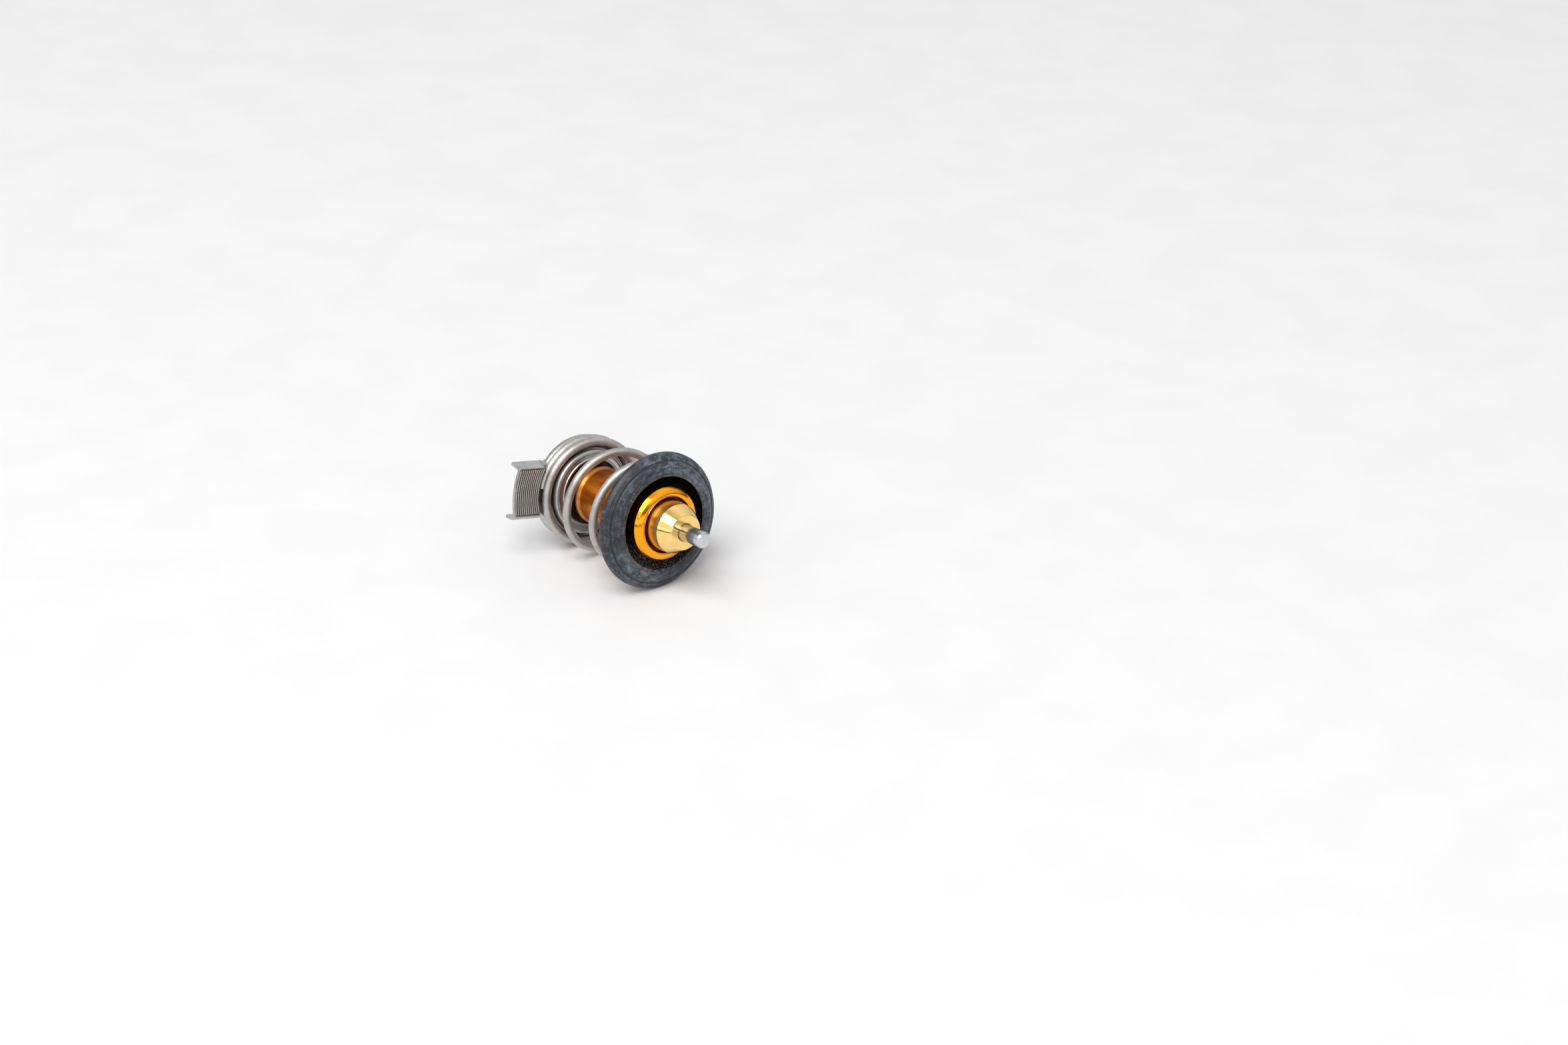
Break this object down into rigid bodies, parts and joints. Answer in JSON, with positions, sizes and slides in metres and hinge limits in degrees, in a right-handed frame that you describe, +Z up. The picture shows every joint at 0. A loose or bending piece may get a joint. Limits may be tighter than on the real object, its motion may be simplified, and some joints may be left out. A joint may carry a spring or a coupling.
{
  "type": "engine coolant wax thermostat insert",
  "caption": "Wax capsule with a guided pin and a rubber-faced valve, closed by a coil spring that bears on a pressed steel frame with opposed ribbed arms.",
  "frame": {"origin": "on the insert's own axis, in the plane where the rubber rim is widest", "axes": "+X along the ground, the way the pin points; +Z up; the insert's axis climbs about 6 degrees towards the pin, as it lies on its rubber rim and its spring"},
  "size_m": [0.0432, 0.0356, 0.0279],
  "materials": {
    "piston": "ground",
    "piston_guide": "turned",
    "guide_washer": "plain",
    "rubber_boot": "plain",
    "wax_cup": "copper, drawn and partly bright",
    "wax_charge": "waxy, with copper powder",
    "valve_plate": "pressed",
    "valve_seal": "moulded",
    "main_spring": "satin",
    "frame": "pressed sheet, ribbed arms",
    "retaining_washer": "blackened"
  },
  "bodies": {
    "frame": {"frame": "frame", "main_spring": "main_spring"},
    "capsule": {"wax_cup": "wax_cup", "piston_guide": "piston_guide", "guide_washer": "guide_washer", "rubber_boot": "rubber_boot", "wax_charge": "wax_charge", "valve_plate": "valve_plate", "valve_seal": "valve_seal", "retaining_washer": "retaining_washer"},
    "piston": {"piston": "piston"}
  },
  "joints": [
    {"name": "valve_slide", "type": "slide", "parent": "frame", "child": "capsule", "axis": [-0.9939, 0, -0.1099], "range_m": [0, 0.008], "stiffness_N_per_m": 3600, "springref_m": -0.017, "deforming": ["main_spring"]},
    {"name": "piston_slide", "type": "slide", "parent": "capsule", "child": "piston", "axis": [0.9939, 0, 0.1099], "range_m": [0, 0.008]}
  ]
}
